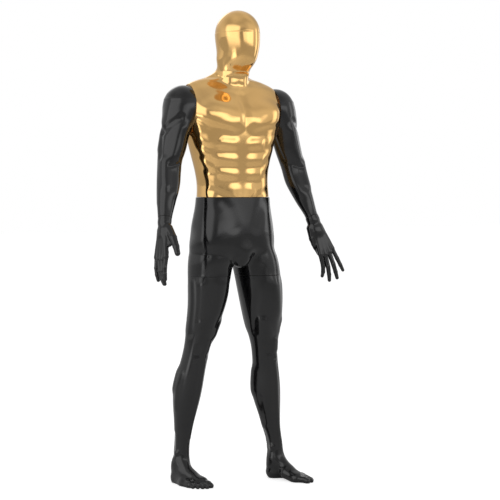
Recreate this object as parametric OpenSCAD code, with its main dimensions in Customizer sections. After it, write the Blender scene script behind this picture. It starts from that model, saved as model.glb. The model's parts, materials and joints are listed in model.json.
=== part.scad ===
// Full-height male display mannequin: plated head and torso, gloss black limbs,
// hollow moulded shells joined by steel twist-lock fittings.
// The figure faces -Y, its left hand is on the +X side, and the floor is z = 0.

/* [Shells] */
// Radial thickness of every moulded shell
wall = 3; // [2.5:0.5:4]
// Open gap left at every seam
seam_gap = 0.8; // [0.6:0.1:1.2]
// Sides of each ring of a shell
ring_sides = 28; // [20:4:32]

/* [Seams] */
// Height of the waist seam
waist_z = 1138; // [1134:1:1142]
// Height of the seams across both thighs
thigh_z = 828; // [822:1:834]
// Lean of each shoulder seam from vertical
shoulder_lean = 3; // [2:0.5:4]

/* [Fittings] */
// Thickness of the steel fitting plates
plate_t = 3; // [2.5:0.5:3.5]
// Thickness of the boards that close the shells
board_t = 12; // [11:0.5:13]
// Turn from locked to free of a twist-lock fitting
unlock_turn = 60; // [55:5:70]
// Radius of the spigot that carries the left leg
spigot_r = 14; // [12:0.5:16]
// Length of that spigot below its flange
spigot_l = 70; // [60:5:80]
// Radius of the bore for the base rod, in the right heel
rod_r = 6.25; // [5.25:0.25:6.75]
// Depth of that bore
rod_depth = 60; // [50:5:65]

/* [Hidden] */

gold = "goldenrod";
black = "#26262a";
steel = "silver";
wood = "burlywood";
screw_steel = "dimgray";

// Shift that puts the origin on the floor under the middle of the figure's box
centre = [9.1, -22.5, 0];

half_gap = seam_gap / 2;
pin_clear = 0.05;
far = 900;
$fn = 48;

// Twist-lock fittings: [plate radius, post radius, lug radius, screw circle radius,
// screw shank radius, screw head radius, screw length]
waist_fitting = [46, 11, 22, 37, 2, 4, 14];
shoulder_fitting = [38, 9, 19, 30, 2, 4, 14];
wrist_fitting = [18, 4.5, 9, 14, 1.2, 2.2, 12];
screws_per_plate = 4;
head_t = 2;
lug_t = 4;
lug_clear = 0.5;
lug_slot_clear = 1;
board_hole_clear = 2;
flange_r = 40;
flange_screws = [flange_r, 0, 0, 31, 2, 4, 14];
tube_wall = 2.5;
sole_t = 9;
rod_flange_r = 15;
rod_flange_t = 3;
sleeve_reach = 30;
sleeve_wall = 4;

// ---------------------------------------------------------------- stations
// Each station is one ring: [x, y, z, half width, half depth, squareness, yaw].
// Squareness 2 is an ellipse, and more is squarer.

torso_stations = [
  [4, -8, 1128, 153, 98, 2.3, 0],
  [3, -7, 1180, 148, 98, 2.3, 0],
  [0, -6, 1232, 153, 101, 2.3, 0],
  [-2, -6, 1285, 165, 107, 2.3, 0],
  [-3, -5, 1335, 178, 114, 2.4, 0],
  [-2, -3, 1380, 187, 119, 2.5, 0],
  [0, -2, 1420, 198, 120, 2.6, 0],
  [0, 0, 1465, 208, 114, 2.8, 0],
  [0, 4, 1510, 211, 100, 2.8, 0],
  [0, 8, 1548, 206, 82, 2.8, 0],
  [0, 12, 1578, 184, 66, 2.6, 0],
  [-3, 12, 1597, 132, 62, 2.3, 0],
  [-3, 8, 1610, 94, 60, 2.1, 0],
  [0, -2, 1622, 66, 60, 2, 2],
  [0, -10, 1640, 59, 62, 2, 5],
  [2, -22, 1654, 57, 76, 2, 10],
  [6, -36, 1668, 59, 86, 2, 12],
  [8, -46, 1695, 66, 91, 2, 12],
  [8, -47, 1735, 74, 96, 2, 12],
  [8, -47, 1778, 78, 99, 2, 12],
  [8, -46, 1812, 76, 96, 2, 12],
  [8, -45, 1842, 64, 83, 2, 12],
  [8, -44, 1862, 46, 62, 2, 12],
  [8, -43, 1875, 25, 35, 2, 12],
  [8, -43, 1880, 6, 9, 2, 12]
];

pelvis_stations = [
  [4, -8, 1148, 153, 98, 2.3, 0],
  [4, -7, 1100, 158, 103, 2.3, 1],
  [4, -5, 1050, 168, 111, 2.4, 3],
  [4, -3, 1000, 176, 117, 2.5, 5],
  [4, -1, 950, 180, 117, 2.5, 6],
  [3, 0, 910, 168, 102, 2.4, 6],
  [0, 0, 880, 130, 66, 2.2, 6]
];

right_thigh_stations = [
  [-90, -1, 950, 74, 94, 2.2, 4],
  [-92, -2, 900, 81, 98, 2.2, 6],
  [-95, 1, 850, 80, 94, 2.2, 8],
  [-97, 4, 812, 77, 91, 2.2, 9]
];
right_leg_stations = [
  [-95, 1, 843, 80, 94, 2.2, 8],
  [-98, 6, 780, 75, 88, 2.2, 10],
  [-105, 16, 700, 67, 79, 2.1, 11],
  [-118, 29, 620, 58, 68, 2.1, 12],
  [-130, 41, 550, 51, 58, 2.1, 13],
  [-138, 50, 500, 49, 55, 2.1, 14],
  [-148, 62, 440, 51, 58, 2.1, 15],
  [-155, 74, 380, 52, 61, 2.1, 15],
  [-161, 81, 320, 48, 56, 2.1, 15],
  [-166, 85, 260, 40, 46, 2, 15],
  [-171, 89, 200, 32, 38, 2, 15],
  [-175, 92, 145, 28, 35, 2, 15]
];

left_thigh_stations = [
  [94, -1, 950, 74, 94, 2.2, 6],
  [103, -3, 900, 84, 98, 2.2, 8],
  [111, -8, 850, 86, 96, 2.2, 10],
  [116, -11, 812, 86, 94, 2.2, 12]
];
left_leg_stations = [
  [111, -8, 843, 86, 96, 2.2, 10],
  [120, -14, 780, 85, 90, 2.2, 13],
  [129, -17, 700, 76, 82, 2.1, 16],
  [135, -19, 620, 63, 70, 2.1, 19],
  [142, -19, 550, 51, 58, 2.1, 22],
  [146, -17, 500, 47, 54, 2.1, 24],
  [152, -11, 440, 48, 57, 2.1, 25],
  [157, -5, 380, 52, 60, 2.1, 26],
  [164, -4, 320, 48, 56, 2.1, 27],
  [173, -7, 260, 40, 46, 2, 28],
  [181, -12, 200, 32, 38, 2, 28],
  [190, -19, 145, 28, 35, 2, 28]
];

// Foot rings, from the ankle: [forward of the ankle, z, half width, half length]
foot_rings = [
  [8, 105, 31, 44],
  [20, 80, 34, 62],
  [38, 56, 38, 88],
  [57, 32, 43, 112],
  [66, sole_t, 45, 122],
  [66, 0, 42, 118]
];
right_ankle = [-178, 92];
right_foot_yaw = 11;
left_ankle = [193, -24];
left_foot_yaw = 29;

// The left arm. The right arm mirrors it.
arm_stations = [
  [190, 10, 1582, 14, 16, 2, 0],
  [192, 10, 1574, 40, 40, 2, 0],
  [198, 10, 1560, 54, 54, 2, 0],
  [205, 9, 1538, 66, 66, 2, 0],
  [213, 8, 1505, 74, 75, 2, 0],
  [223, 5, 1460, 70, 75, 2, 0],
  [238, 2, 1415, 60, 68, 2, 0],
  [252, -1, 1370, 55, 60, 2, 0],
  [268, -6, 1315, 51, 55, 2, 0],
  [284, -14, 1248, 47, 45, 2, 0],
  [293, -27, 1198, 47, 45, 2, 0],
  [309, -44, 1148, 42, 40, 2, 0],
  [321, -60, 1100, 32, 33, 2, 0],
  [331, -76, 1060, 27, 28, 2, 0],
  [336, -84, 1040, 27, 28, 2, 0]
];
wrist_station = 13;

// Hand rings, from the wrist to the knuckles: [along, half width, half thickness]
palm_rings = [[-20, 27, 27], [0, 27, 27], [40, 26, 23], [80, 33, 18], [120, 42, 15], [160, 41, 12]];
// Fingers from the thumb side: [across, along at the knuckle, length, radius]
fingers = [[28, 157, 94, 9], [9.5, 162, 106, 9.5], [-9, 159, 100, 9], [-26, 150, 80, 8]];
finger_curl = 20;
thumb_points = [[23, 4, 56], [46, 10, 100], [53, 15, 150]];
thumb_radii = [15, 12, 9];
hand_dir = unit([0.25, -0.23, -0.94]);
left_thumb_dir = [-0.95, 0.3, 0];
right_thumb_dir = [-0.62, -0.78, 0];

// ---------------------------------------------------------------- seam frames
shoulder_centre = [190, 2, 1490];
shoulder_out = [cos(shoulder_lean), 0, sin(shoulder_lean)];
wrist_centre = point_of(arm_stations[wrist_station]);
forearm_dir = unit(wrist_centre - point_of(arm_stations[wrist_station - 2]));
thigh_centre = [109, -8, thigh_z];
rod_centre = [right_ankle.x - 8, right_ankle.y + 18, 0];

function point_of(s) = [s[0], s[1], s[2]];
function unit(v) = v / norm(v);

// Frame with its z axis along w and its x axis as near to u0 as it can be
function frame(o, w, u0) =
  let (u = unit(u0 - (u0 * w) * w), v = cross(w, u))
  [[u.x, v.x, w.x, o.x], [u.y, v.y, w.y, o.y], [u.z, v.z, w.z, o.z], [0, 0, 0, 1]];

// Each seam's z axis points from the stud's side into the socket's side
waist_frame = frame([4, -8, waist_z], [0, 0, 1], [1, 0, 0]);
shoulder_frame = frame(shoulder_centre, -shoulder_out, [0, 0, 1]);
wrist_frame = frame(wrist_centre, -forearm_dir, [0, 1, 0]);
thigh_frame = frame(thigh_centre, [0, 0, -1], [1, 0, 0]);

// ---------------------------------------------------------------- lofts
function signed_power(c, n) = sign(c) * pow(abs(c), 2 / n);

function ring(s, inset) =
  [for (k = [0 : ring_sides - 1])
    let (
      a = 360 * k / ring_sides,
      across = (s[3] - inset) * signed_power(cos(a), s[5]),
      along = (s[4] - inset) * signed_power(sin(a), s[5]),
      yaw = s[6]
    )
    point_of(s) + [across * cos(yaw) - along * sin(yaw), across * sin(yaw) + along * cos(yaw), 0]];

function part_of(list, first, last) = [for (i = [first : last]) list[i]];

// A foot's rings as stations, turned and set at its ankle
function foot_stations(ankle, yaw) =
  [for (r = foot_rings)
    [ankle.x + r[0] * sin(yaw), ankle.y - r[0] * cos(yaw), r[1], r[2], r[3], 2.3, yaw]];

right_leg_all = concat(right_leg_stations, foot_stations(right_ankle, right_foot_yaw));
left_leg_all = concat(left_leg_stations, foot_stations(left_ankle, left_foot_yaw));

module between(r1, r2) {
  n = len(r1);
  hull() polyhedron(concat(r1, r2), [[for (k = [0 : n - 1]) k], [for (k = [n : 2 * n - 1]) k]]);
}

module loft(stations, inset = 0) {
  for (i = [0 : len(stations) - 2])
    between(ring(stations[i], inset), ring(stations[i + 1], inset));
}

module above(z) translate([-far, -far, z]) cube([2 * far, 2 * far, 2 * far]);
module below(z) translate([-far, -far, z - 2 * far]) cube([2 * far, 2 * far, 2 * far]);
module mirrored() mirror([1, 0, 0]) children();
module placed(colour) color(colour) translate(-centre) children();

// A slab of a seam's frame, from z0 to z1 along the frame's z axis
module slab(seam, z0, z1, reach = far)
  multmatrix(seam) translate([-reach, -reach, z0]) cube([2 * reach, 2 * reach, z1 - z0]);

// ---------------------------------------------------------------- shells
module torso_head_shell() placed(gold) difference() {
  loft(torso_stations);
  loft(part_of(torso_stations, 0, len(torso_stations) - 2), wall);
  below(waist_z + half_gap);
  slab(shoulder_frame, -far, half_gap);
  mirrored() slab(shoulder_frame, -far, half_gap);
}

module pelvis_shell() placed(black) difference() {
  union() {
    loft(pelvis_stations);
    loft(right_thigh_stations);
    loft(left_thigh_stations);
  }
  union() {
    loft(part_of(pelvis_stations, 0, len(pelvis_stations) - 2), wall);
    loft(right_thigh_stations, wall);
    loft(left_thigh_stations, wall);
  }
  above(waist_z - half_gap);
  below(thigh_z + half_gap);
}

// A leg closes at the sole, so its hollow stops one ring short of it
module leg_shell(stations) difference() {
  loft(stations);
  loft(part_of(stations, 0, len(stations) - 2), wall);
  above(thigh_z - half_gap);
}

module right_leg_shell() placed(black) difference() {
  leg_shell(right_leg_all);
  translate(rod_centre - [0, 0, 1]) cylinder(h = sole_t + 2, r = rod_r + tube_wall + 0.1);
}

module left_leg_shell() placed(black) leg_shell(left_leg_all);

module arm_shell() difference() {
  loft(arm_stations);
  loft(part_of(arm_stations, 1, len(arm_stations) - 1), wall);
  slab(shoulder_frame, -half_gap, far);
  slab(wrist_frame, -far, half_gap, 60);
}

module left_arm_shell() placed(black) arm_shell();
module right_arm_shell() placed(black) mirrored() arm_shell();

// ---------------------------------------------------------------- hands
// In a hand's own frame x is toward the thumb, y out of the palm, and z to the fingertips
module palm() {
  function palm_ring(p) =
    [for (k = [0 : ring_sides - 1])
      let (a = 360 * k / ring_sides) [p[1] * cos(a), p[2] * sin(a), p[0]]];
  for (i = [0 : len(palm_rings) - 2])
    between(palm_ring(palm_rings[i]), palm_ring(palm_rings[i + 1]));
}

module bone(p1, r1, p2, r2) hull() {
  translate(p1) sphere(r1, $fn = 14);
  translate(p2) sphere(r2, $fn = 14);
}

module finger(f) {
  middle = [0, 0, f[2] * 0.5];
  translate([f[0], 0, f[1]]) {
    bone([0, 0, -12], f[3], middle, f[3] * 0.9);
    translate(middle) rotate([-finger_curl, 0, 0])
      bone([0, 0, 0], f[3] * 0.9, [0, 0, f[2] * 0.45], f[3] * 0.72);
  }
}

module hand(thumb_dir) difference() {
  multmatrix(frame(wrist_centre, hand_dir, thumb_dir)) {
    palm();
    for (f = fingers) finger(f);
    for (i = [0 : 1])
      bone(thumb_points[i], thumb_radii[i], thumb_points[i + 1], thumb_radii[i + 1]);
  }
  slab(wrist_frame, -half_gap, 60, 60);
  multmatrix(wrist_frame) {
    translate([0, 0, -half_gap - plate_t]) cylinder(h = plate_t + 1, r = wrist_fitting[0] + 0.3);
    screw_places(wrist_fitting) translate([0, 0, -20]) cylinder(h = 20, r = wrist_fitting[4] + 0.15);
  }
}

module left_hand() placed(black) hand(left_thumb_dir);
module right_hand() placed(black) mirrored() hand(right_thumb_dir);

// ---------------------------------------------------------------- fittings
module screw_places(f)
  for (k = [0 : screws_per_plate - 1])
    rotate(45 + 360 * k / screws_per_plate) translate([f[3], 0, 0]) children();

module lug_bar(f, extra)
  intersection() {
    cylinder(h = lug_t, r = f[2] + extra);
    translate([-far, -f[1] * 0.7 - extra, 0]) cube([2 * far, f[1] * 1.4 + 2 * extra, lug_t]);
  }

// A plate whose outer face is at z = 0 and whose back is at z = plate_t
module drilled_plate(f) difference() {
  cylinder(h = plate_t, r = f[0]);
  screw_places(f) {
    translate([0, 0, -1]) cylinder(h = plate_t + 2, r = f[4]);
    translate([0, 0, -1]) cylinder(h = head_t + 1, r = f[5]);
  }
}

module socket_plate(seam, f) multmatrix(seam) translate([0, 0, half_gap]) difference() {
  drilled_plate(f);
  translate([0, 0, -1]) cylinder(h = plate_t + 2, r = f[1] + pin_clear);
  rotate(unlock_turn) translate([0, 0, -1]) scale([1, 1, 2]) lug_bar(f, lug_slot_clear);
}

module stud_plate(seam, f) multmatrix(seam) {
  lug_z = half_gap + plate_t + lug_clear;
  translate([0, 0, -half_gap]) mirror([0, 0, 1]) drilled_plate(f);
  translate([0, 0, -half_gap - 1]) cylinder(h = lug_z + lug_t + half_gap + 1, r = f[1]);
  translate([0, 0, lug_z]) lug_bar(f, 0);
}

// Screws whose heads are sunk in a plate's outer face at z = 0
module screws(f) screw_places(f) {
  cylinder(h = head_t, r = f[5]);
  cylinder(h = f[6], r = f[4]);
}
module socket_screws(seam, f) multmatrix(seam) translate([0, 0, half_gap]) screws(f);
module stud_screws(seam, f) multmatrix(seam) translate([0, 0, -half_gap]) mirror([0, 0, 1]) screws(f);

module waist_socket_plate() placed(steel) socket_plate(waist_frame, waist_fitting);
module waist_stud_plate() placed(steel) stud_plate(waist_frame, waist_fitting);
module left_shoulder_socket_plate() placed(steel) socket_plate(shoulder_frame, shoulder_fitting);
module left_shoulder_stud_plate() placed(steel) stud_plate(shoulder_frame, shoulder_fitting);
module left_wrist_socket_plate() placed(steel) socket_plate(wrist_frame, wrist_fitting);
module left_wrist_stud_plate() placed(steel) stud_plate(wrist_frame, wrist_fitting);
module right_shoulder_socket_plate()
  placed(steel) mirrored() socket_plate(shoulder_frame, shoulder_fitting);
module right_shoulder_stud_plate()
  placed(steel) mirrored() stud_plate(shoulder_frame, shoulder_fitting);
module right_wrist_socket_plate()
  placed(steel) mirrored() socket_plate(wrist_frame, wrist_fitting);
module right_wrist_stud_plate()
  placed(steel) mirrored() stud_plate(wrist_frame, wrist_fitting);

// The spigot hangs from the pelvis, and the tube is let into the leg
module leg_spigot() placed(steel) multmatrix(thigh_frame) {
  translate([0, 0, -half_gap]) mirror([0, 0, 1]) drilled_plate(flange_screws);
  translate([0, 0, -half_gap - 1]) cylinder(h = spigot_l + 1, r = spigot_r);
}

module leg_socket_tube() placed(steel) multmatrix(thigh_frame) translate([0, 0, half_gap])
  difference() {
    union() {
      drilled_plate(flange_screws);
      cylinder(h = spigot_l + 5, r = spigot_r + tube_wall);
    }
    translate([0, 0, -1]) cylinder(h = spigot_l + 7, r = spigot_r + pin_clear);
  }

module base_rod_socket() placed(steel) translate(rod_centre) difference() {
  union() {
    cylinder(h = rod_depth + 5, r = rod_r + tube_wall);
    translate([0, 0, sole_t]) cylinder(h = rod_flange_t, r = rod_flange_r);
  }
  translate([0, 0, -1]) cylinder(h = rod_depth + 1, r = rod_r);
}

// ---------------------------------------------------------------- boards
module pilot_holes(f) screw_places(f) translate([0, 0, -1]) cylinder(h = far, r = f[4]);

// A board behind a socket plate, cut from the hollow that children() fills
module socket_board(seam, f) difference() {
  intersection() {
    children();
    slab(seam, half_gap + plate_t, half_gap + plate_t + board_t);
  }
  multmatrix(seam) {
    pilot_holes(f);
    cylinder(h = far, r = f[2] + board_hole_clear);
  }
}

// A board behind a stud plate
module stud_board(seam, f) difference() {
  intersection() {
    children();
    slab(seam, -half_gap - plate_t - board_t, -half_gap - plate_t);
  }
  multmatrix(seam) mirror([0, 0, 1]) pilot_holes(f);
}

module torso_waist_board() placed(wood)
  socket_board(waist_frame, waist_fitting) loft(part_of(torso_stations, 0, 1), wall);
module pelvis_waist_board() placed(wood)
  stud_board(waist_frame, waist_fitting) loft(part_of(pelvis_stations, 0, 1), wall);
module torso_side_board()
  socket_board(shoulder_frame, shoulder_fitting) loft(part_of(torso_stations, 5, 11), wall);
module torso_left_board() placed(wood) torso_side_board();
module torso_right_board() placed(wood) mirrored() torso_side_board();
module shoulder_board()
  stud_board(shoulder_frame, shoulder_fitting) loft(part_of(arm_stations, 1, 7), wall);
module left_shoulder_board() placed(wood) shoulder_board();
module right_shoulder_board() placed(wood) mirrored() shoulder_board();
module wrist_board()
  socket_board(wrist_frame, wrist_fitting) loft(part_of(arm_stations, 11, 14), wall);
module left_wrist_board() placed(wood) wrist_board();
module right_wrist_board() placed(wood) mirrored() wrist_board();
module pelvis_thigh_board() placed(wood)
  stud_board(thigh_frame, flange_screws) loft(part_of(left_thigh_stations, 1, 3), wall);
module left_leg_board() placed(wood) difference() {
  stud_board_room = half_gap + plate_t;
  intersection() {
    loft(part_of(left_leg_stations, 0, 1), wall);
    slab(thigh_frame, stud_board_room, stud_board_room + board_t);
  }
  multmatrix(thigh_frame) {
    pilot_holes(flange_screws);
    cylinder(h = far, r = spigot_r + tube_wall);
  }
}

// The band that bonds the right leg to the pelvis
module right_thigh_sleeve() placed(black) difference() {
  union() {
    intersection() {
      loft(part_of(right_thigh_stations, 1, 3), wall);
      slab(frame([0, 0, thigh_z], [0, 0, 1], [1, 0, 0]), half_gap, sleeve_reach);
    }
    intersection() {
      loft(part_of(right_leg_stations, 0, 1), wall);
      slab(frame([0, 0, thigh_z], [0, 0, 1], [1, 0, 0]), -sleeve_reach, half_gap);
    }
  }
  loft(right_thigh_stations, wall + sleeve_wall);
  loft(part_of(right_leg_stations, 0, 1), wall + sleeve_wall);
}

// ---------------------------------------------------------------- screws
module torso_screws() placed(screw_steel) {
  socket_screws(waist_frame, waist_fitting);
  socket_screws(shoulder_frame, shoulder_fitting);
  mirrored() socket_screws(shoulder_frame, shoulder_fitting);
}
module pelvis_screws() placed(screw_steel) {
  stud_screws(waist_frame, waist_fitting);
  stud_screws(thigh_frame, flange_screws);
}
module arm_screws() {
  stud_screws(shoulder_frame, shoulder_fitting);
  socket_screws(wrist_frame, wrist_fitting);
}
module left_arm_screws() placed(screw_steel) arm_screws();
module right_arm_screws() placed(screw_steel) mirrored() arm_screws();
module left_hand_screws() placed(screw_steel) stud_screws(wrist_frame, wrist_fitting);
module right_hand_screws() placed(screw_steel) mirrored() stud_screws(wrist_frame, wrist_fitting);
module left_leg_screws() placed(screw_steel) socket_screws(thigh_frame, flange_screws);

torso_head_shell();
pelvis_shell();
right_leg_shell();
left_leg_shell();
right_arm_shell();
left_arm_shell();
right_hand();
left_hand();
torso_waist_board();
pelvis_waist_board();
torso_right_board();
torso_left_board();
right_shoulder_board();
left_shoulder_board();
right_wrist_board();
left_wrist_board();
pelvis_thigh_board();
left_leg_board();
right_thigh_sleeve();
waist_socket_plate();
waist_stud_plate();
right_shoulder_socket_plate();
left_shoulder_socket_plate();
right_shoulder_stud_plate();
left_shoulder_stud_plate();
right_wrist_socket_plate();
left_wrist_socket_plate();
right_wrist_stud_plate();
left_wrist_stud_plate();
leg_spigot();
leg_socket_tube();
base_rod_socket();
torso_screws();
pelvis_screws();
right_arm_screws();
left_arm_screws();
right_hand_screws();
left_hand_screws();
left_leg_screws();
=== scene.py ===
"""A full-height display mannequin: gold plated head and torso, gloss black pelvis and limbs.

Each moulding is sculpted as a distance field in the figure's own frame, in millimetres: a smooth loft
through rings, rounded bones, and muscle relief drawn round the limb. The field's surface is meshed,
cut flat at its seams, given a rolled lip and moved into the CAD frame.
"""
import json
import math

import bmesh
import bpy
import numpy as np
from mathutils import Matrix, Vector

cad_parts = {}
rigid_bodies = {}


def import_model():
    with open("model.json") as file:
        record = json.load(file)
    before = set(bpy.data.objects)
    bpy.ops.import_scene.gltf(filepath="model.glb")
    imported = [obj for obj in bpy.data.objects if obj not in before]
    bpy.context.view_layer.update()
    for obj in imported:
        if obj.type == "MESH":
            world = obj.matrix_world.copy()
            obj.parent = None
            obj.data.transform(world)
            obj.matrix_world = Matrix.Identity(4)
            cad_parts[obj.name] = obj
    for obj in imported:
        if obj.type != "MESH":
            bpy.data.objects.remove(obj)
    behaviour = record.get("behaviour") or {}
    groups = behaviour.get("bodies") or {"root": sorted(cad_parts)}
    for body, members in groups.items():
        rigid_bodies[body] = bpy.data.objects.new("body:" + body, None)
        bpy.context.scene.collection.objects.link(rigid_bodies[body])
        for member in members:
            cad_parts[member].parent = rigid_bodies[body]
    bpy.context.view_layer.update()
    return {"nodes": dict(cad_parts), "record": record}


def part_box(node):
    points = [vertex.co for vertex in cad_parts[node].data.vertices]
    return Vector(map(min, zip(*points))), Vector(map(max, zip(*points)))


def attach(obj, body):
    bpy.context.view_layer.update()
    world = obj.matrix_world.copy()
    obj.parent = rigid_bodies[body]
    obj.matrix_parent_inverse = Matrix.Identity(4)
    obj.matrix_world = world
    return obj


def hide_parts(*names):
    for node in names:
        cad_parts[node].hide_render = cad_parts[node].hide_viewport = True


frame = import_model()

MM = 0.001

JOINTS = {j["name"]: j for j in frame["record"]["behaviour"]["joints"]}


def joint_mm(name):
    return np.array(JOINTS[name]["pos_m"]) / MM


# The figure's own frame has x = 0 on the spine, and its waist fitting is centred here
WAIST = np.array([4.0, -8.0, 1138.0])
TO_FRAME = joint_mm("waist_twist") - WAIST
SHOULDER = joint_mm("left_shoulder_twist") - TO_FRAME
WRIST = joint_mm("left_wrist_twist") - TO_FRAME
SHOULDER_OUT = -np.array(JOINTS["left_shoulder_twist"]["axis"])
FOREARM = -np.array(JOINTS["left_wrist_twist"]["axis"])
THIGH_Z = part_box("leg_socket_tube")[1][2] / MM + 0.4

UP = np.array([0.0, 0.0, 1.0])
MIRROR = np.array([-1.0, 1.0, 1.0])


# ---------------------------------------------------------------- fields
def unit(v):
    v = np.asarray(v, float)
    return v / np.linalg.norm(v)


def spline(keys, values, at):
    """A natural cubic spline through values at keys, read at the points at."""
    keys, values = np.asarray(keys, float), np.asarray(values, float)
    gap, rise = np.diff(keys), np.diff(values)
    system, right = np.eye(len(keys)), np.zeros(len(keys))
    for i in range(1, len(keys) - 1):
        system[i, i - 1:i + 2] = gap[i - 1], 2 * (gap[i - 1] + gap[i]), gap[i]
        right[i] = 6 * (rise[i] / gap[i] - rise[i - 1] / gap[i - 1])
    curve = np.linalg.solve(system, right)
    i = np.clip(np.searchsorted(keys, at) - 1, 0, len(keys) - 2)
    a, b, h = keys[i + 1] - at, at - keys[i], gap[i]
    return ((curve[i] * a ** 3 + curve[i + 1] * b ** 3) / (6 * h)
            + (values[i] / h - curve[i] * h / 6) * a + (values[i + 1] / h - curve[i + 1] * h / 6) * b)


class Loft:
    """A limb as rings [x, y, z, half width, half depth, squareness, yaw] joined by smooth curves."""

    def __init__(self, rings):
        rows = np.array(sorted(rings, key=lambda r: r[2]), float)
        self.low, self.high = rows[0, 2], rows[-1, 2]
        self.z = np.arange(self.low, self.high + 0.5, 1.0)
        self.columns = [spline(rows[:, 2], rows[:, c], self.z) for c in (0, 1, 3, 4, 5, 6)]

    def read(self, z):
        return [np.interp(z, self.z, column) for column in self.columns]

    def locate(self, p):
        """Angle round the limb in degrees, 0 at the front and +90 on the left, and the radius."""
        x, y = self.read(p[:, 2])[:2]
        dx, dy = p[:, 0] - x, p[:, 1] - y
        return np.degrees(np.arctan2(dx, -dy)), np.hypot(dx, dy)

    def field(self, p):
        x, y, a, b, n, yaw = self.read(p[:, 2])
        dx, dy = p[:, 0] - x, p[:, 1] - y
        c, s = np.cos(np.radians(yaw)), np.sin(np.radians(yaw))
        across, along = np.abs(dx * c + dy * s) / a, np.abs(dy * c - dx * s) / b
        rho = np.maximum(across ** n + along ** n, 1e-6) ** (1 / n)
        side = np.hypot(dx, dy) * (1 - 1 / rho)
        return np.maximum(side, np.maximum(p[:, 2] - self.high, self.low - p[:, 2]))


def blend(a, b, k):
    """The union of two fields with a fillet of about k."""
    h = np.maximum(k - np.abs(a - b), 0) / k
    return np.minimum(a, b) - h ** 3 * k / 6


def blend_all(fields, k):
    result = fields[0]
    for f in fields[1:]:
        result = blend(result, f, k)
    return result


def bone(p, a, b, ra, rb):
    """A rounded cone from a to b."""
    a, b = np.asarray(a, float), np.asarray(b, float)
    ab = b - a
    t = np.clip((p - a) @ ab / (ab @ ab), 0, 1)
    return np.linalg.norm(p - a - t[:, None] * ab, axis=1) - (ra + (rb - ra) * t)


def egg(p, centre, radii, yaw=0.0):
    """An ellipsoid, turned about Z."""
    d = p - np.asarray(centre, float)
    c, s = math.cos(math.radians(yaw)), math.sin(math.radians(yaw))
    d = np.stack([d[:, 0] * c + d[:, 1] * s, d[:, 1] * c - d[:, 0] * s, d[:, 2]], 1)
    radii = np.asarray(radii, float)
    k0 = np.linalg.norm(d / radii, axis=1)
    k1 = np.linalg.norm(d / (radii * radii), axis=1)
    return k0 * (k0 - 1) / np.maximum(k1, 1e-9)


def stroke(angle, radius, z, points, reach, height, power=2):
    """Relief drawn round a limb along points (angle, z). A higher power makes a flatter top."""
    best = np.full(len(z), 1e9)
    if len(points) == 1:
        points = points * 2
    for (u0, z0), (u1, z1) in zip(points[:-1], points[1:]):
        x, y = np.radians(angle - u0) * radius, z - z0
        bx, by = np.radians(u1 - u0) * radius, z1 - z0
        t = np.clip((x * bx + y * by) / np.maximum(bx * bx + by * by, 1e-9), 0, 1)
        best = np.minimum(best, (x - t * bx) ** 2 + (y - t * by) ** 2)
    t = np.clip(np.sqrt(best) / reach, 0, 1)
    return height * (1 - t ** power) ** 3


def relief(angle, radius, z, strokes):
    total = np.zeros(len(z))
    for points, reach, height, power in strokes:
        zs = [q[1] for q in points]
        near = (z > min(zs) - reach) & (z < max(zs) + reach)
        if near.any():
            total[near] += stroke(angle[near], radius[near], z[near], points, reach, height, power)
    return total


# ---------------------------------------------------------------- torso and head
TORSO = Loft([
    [4, -8, 1118, 153, 98, 2.3, 0], [3, -7, 1180, 148, 98, 2.3, 0], [0, -6, 1232, 151, 101, 2.3, 0],
    [-2, -6, 1285, 162, 106, 2.35, 0], [-2, -5, 1335, 174, 112, 2.45, 0],
    [-1, -3, 1380, 185, 116, 2.55, 0], [0, -2, 1420, 198, 116, 2.6, 0],
    [0, 0, 1465, 208, 112, 2.7, 0], [0, 4, 1510, 211, 99, 2.7, 0], [0, 8, 1548, 206, 79, 2.6, 0],
    [0, 12, 1574, 186, 62, 2.4, 0], [-3, 14, 1590, 148, 50, 2.3, 0], [-3, 14, 1604, 88, 40, 2, 0],
    [-2, 14, 1612, 20, 15, 2, 0]])
HEAD = Loft([
    [2, -30, 1630, 40, 54, 2, 12], [3, -36, 1646, 50, 70, 2, 12], [4, -42, 1664, 58, 83, 2, 12],
    [5, -46, 1695, 66, 92, 2.05, 12], [5, -46, 1735, 74, 97, 2.1, 12],
    [4, -45, 1774, 78.5, 99, 2.05, 12], [4, -45, 1820, 78.5, 99, 2.05, 12]])
SKULL_Z = 1781
SKULL = [4, -45, SKULL_Z], [78.5, 99, 89], 12

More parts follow.
